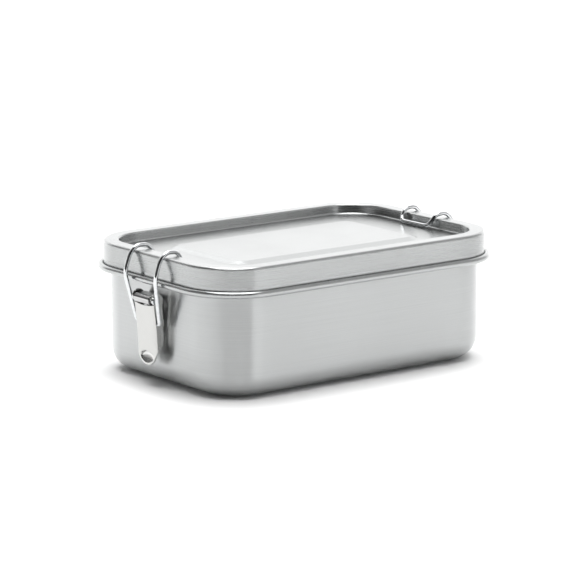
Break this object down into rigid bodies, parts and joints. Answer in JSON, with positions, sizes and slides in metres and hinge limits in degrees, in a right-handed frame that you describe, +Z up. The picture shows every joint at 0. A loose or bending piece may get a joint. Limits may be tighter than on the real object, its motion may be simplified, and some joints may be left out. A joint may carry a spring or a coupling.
{
  "type": "lunch box",
  "caption": "Rectangular stainless steel lunch box with rounded corners, a lift-off sealed lid and wire over-centre latches on its short ends.",
  "frame": {"origin": "centre of the tub's underside, where it stands", "axes": "+X along the box towards the right latch, +Y across it, +Z up through the lid"},
  "size_m": [0.1818, 0.1196, 0.0658],
  "materials": {
    "tub_steel": "fine horizontal brushing",
    "lid_steel": "fine brushing, smoother on the raised panel",
    "silicone": "matte translucent white silicone",
    "bracket_steel": "satin",
    "lever_steel": "fine satin",
    "wire_steel": "polished"
  },
  "bodies": {
    "tub": {"tub": "tub_steel", "bracket_left": "bracket_steel", "pivot_pin_left": "wire_steel", "bracket_right": "bracket_steel", "pivot_pin_right": "wire_steel"},
    "lid": {"lid": "lid_steel", "lid_seal": "silicone"},
    "lever_left": {"lever_left": "lever_steel"},
    "lever_right": {"lever_right": "lever_steel"},
    "bail_left": {"bail_left": "wire_steel"},
    "bail_right": {"bail_right": "wire_steel"}
  },
  "joints": [
    {"name": "lid_lift", "type": "slide", "parent": "tub", "child": "lid", "axis": [0, 0, 1], "range_m": [0, 0.09]},
    {"name": "lever_left_hinge", "type": "hinge", "parent": "tub", "child": "lever_left", "pos_m": [-0.0877, 0, 0.042], "axis": [0, 1, 0], "range_deg": [0, 120]},
    {"name": "lever_right_hinge", "type": "hinge", "parent": "tub", "child": "lever_right", "pos_m": [0.0877, 0, 0.042], "axis": [0, -1, 0], "range_deg": [0, 120]},
    {"name": "bail_left_hinge", "type": "hinge", "parent": "lever_left", "child": "bail_left", "pos_m": [-0.0858, 0, 0.0307], "axis": [0, -1, 0], "range_deg": [0, 180], "deforming": ["bail_left"]},
    {"name": "bail_right_hinge", "type": "hinge", "parent": "lever_right", "child": "bail_right", "pos_m": [0.0858, 0, 0.0307], "axis": [0, 1, 0], "range_deg": [0, 180], "deforming": ["bail_right"]}
  ],
  "couplings": [
    {"joint": "bail_left_hinge", "follows": "lever_left_hinge", "ratio": 1.5},
    {"joint": "bail_right_hinge", "follows": "lever_right_hinge", "ratio": 1.5}
  ]
}
